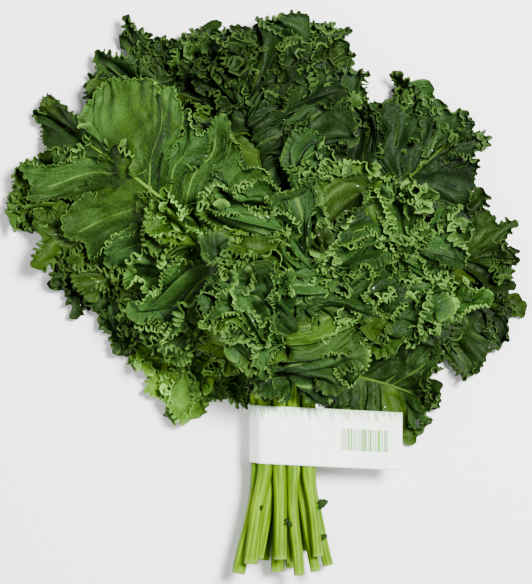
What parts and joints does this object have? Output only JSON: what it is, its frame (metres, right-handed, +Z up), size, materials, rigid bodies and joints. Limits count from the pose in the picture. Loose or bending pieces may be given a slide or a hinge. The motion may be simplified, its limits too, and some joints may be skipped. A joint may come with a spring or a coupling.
{
  "type": "kale bunch",
  "caption": "Bunch of curly kale lying flat: ruffled leaves fan out from long pale stems held together by a plain paper band with a free flag.",
  "frame": {"origin": "on the table, under the middle of the paper band", "axes": "+Y from the stems to the leaf tips, +Z up, +X to the right along the flag"},
  "size_m": [0.3595, 0.3908, 0.1099],
  "materials": {
    "kale_leaf": "satin leaf, dark blue-green blades on pale green stems",
    "paper_band": "matte white paper"
  },
  "bodies": {
    "root": {"kale_leaf_01": "kale_leaf", "kale_leaf_02": "kale_leaf", "kale_leaf_03": "kale_leaf", "kale_leaf_04": "kale_leaf", "kale_leaf_05": "kale_leaf", "kale_leaf_06": "kale_leaf", "kale_leaf_07": "kale_leaf", "kale_leaf_08": "kale_leaf", "kale_leaf_09": "kale_leaf", "kale_leaf_10": "kale_leaf", "kale_leaf_11": "kale_leaf", "kale_leaf_12": "kale_leaf", "kale_leaf_13": "kale_leaf", "kale_leaf_14": "kale_leaf", "kale_leaf_15": "kale_leaf", "kale_leaf_16": "kale_leaf", "paper_band": "paper_band"}
  },
  "joints": []
}
